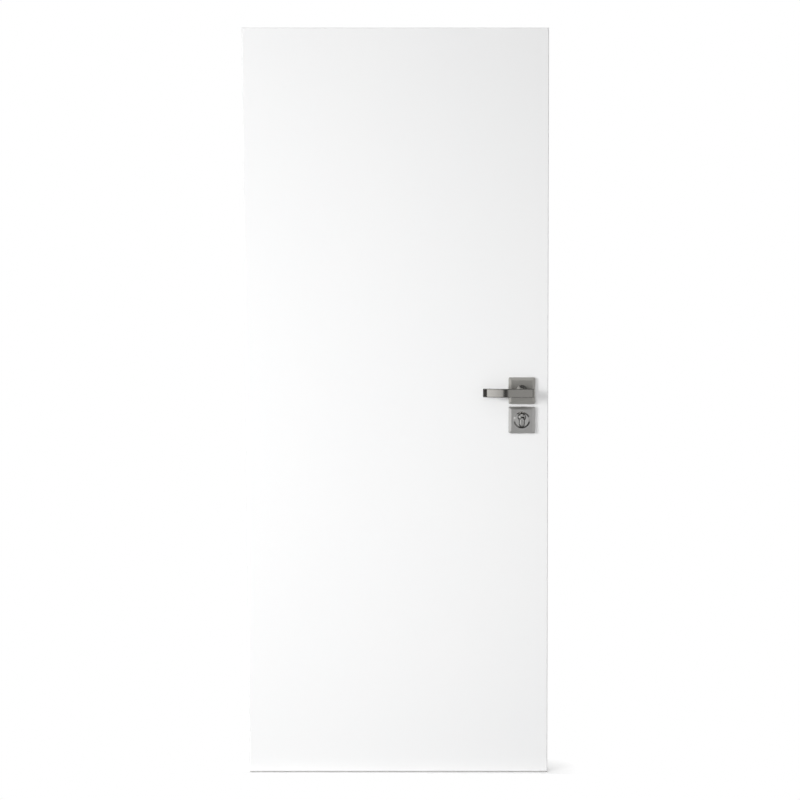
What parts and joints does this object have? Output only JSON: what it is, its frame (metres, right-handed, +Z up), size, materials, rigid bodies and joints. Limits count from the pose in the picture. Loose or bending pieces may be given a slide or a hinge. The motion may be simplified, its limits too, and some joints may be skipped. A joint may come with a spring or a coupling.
{
  "type": "flush door leaf",
  "caption": "Flush door leaf with a mortice lock, a square lever set on both faces and a profile key cylinder.",
  "frame": {"origin": "foot of the hinge edge, in the middle of the leaf's thickness", "axes": "+X across the leaf from the hinge edge to the lock edge, front face along -Y, +Z up"},
  "size_m": [0.826, 0.156, 2.04],
  "materials": {
    "painted_face": "white satin lacquer",
    "painted_lipping": "white satin lacquer",
    "softwood": "sawn",
    "core_board": "pressed",
    "satin_nickel": "satin",
    "lock_steel": "brushed",
    "cylinder_brass": "nickel plated",
    "base_nylon": "moulded"
  },
  "bodies": {
    "leaf": {"front_skin": "painted_face", "back_skin": "painted_face", "hinge_lipping": "painted_lipping", "lock_lipping": "painted_lipping", "top_lipping": "painted_lipping", "bottom_lipping": "painted_lipping", "hinge_stile": "softwood", "lock_stile": "softwood", "top_rail": "softwood", "bottom_rail": "softwood", "lock_block": "softwood", "core": "core_board", "forend": "lock_steel", "lock_case": "lock_steel", "latch_bolt": "lock_steel", "dead_bolt": "lock_steel", "cylinder_body": "cylinder_brass", "back_key_plug": "cylinder_brass", "front_rose": "satin_nickel", "back_rose": "satin_nickel", "front_escutcheon": "satin_nickel", "back_escutcheon": "satin_nickel", "front_rose_base": "base_nylon", "back_rose_base": "base_nylon", "front_escutcheon_base": "base_nylon", "back_escutcheon_base": "base_nylon"},
    "lever_set": {"front_lever": "satin_nickel", "back_lever": "satin_nickel", "spindle": "lock_steel", "follower": "lock_steel"},
    "key_plug": {"front_key_plug": "cylinder_brass"}
  },
  "joints": [
    {"name": "lever_turn", "type": "hinge", "parent": "leaf", "child": "lever_set", "pos_m": [0.754, 0, 1.063], "axis": [0, -1, 0], "range_deg": [0, 40], "stiffness_Nm_per_rad": 1.5, "springref_deg": -22.92},
    {"name": "key_turn", "type": "hinge", "parent": "leaf", "child": "key_plug", "pos_m": [0.754, 0, 0.991], "axis": [0, -1, 0], "continuous": true}
  ]
}
